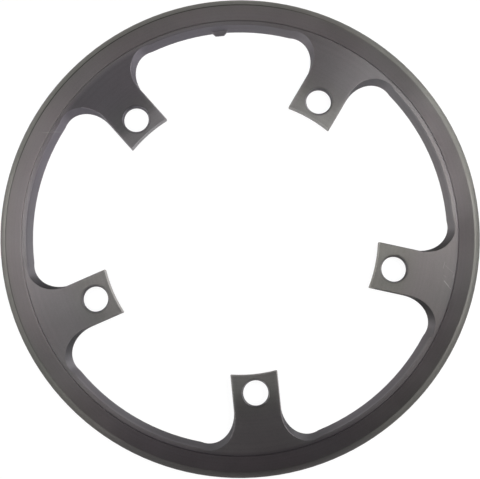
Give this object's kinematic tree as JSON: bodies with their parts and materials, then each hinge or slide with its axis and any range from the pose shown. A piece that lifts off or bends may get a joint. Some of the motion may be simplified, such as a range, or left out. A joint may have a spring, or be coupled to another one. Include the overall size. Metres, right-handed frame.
{
  "type": "bicycle chainguard ring",
  "caption": "Toothless dark grey aluminium guard ring that bolts to the outside of a crank's arms, with inward bolt tabs and sloped windows between them.",
  "frame": {"origin": "centre of the bolt circle in the plane of the back face", "axes": "+Z out of the front face, +Y towards the alignment nub on the inner edge"},
  "size_m": [0.1982, 0.1982, 0.0058],
  "materials": {
    "anodised": "dark grey anodised, turned, satin"
  },
  "bodies": {
    "root": {"chainguard_ring": "anodised"}
  },
  "joints": []
}
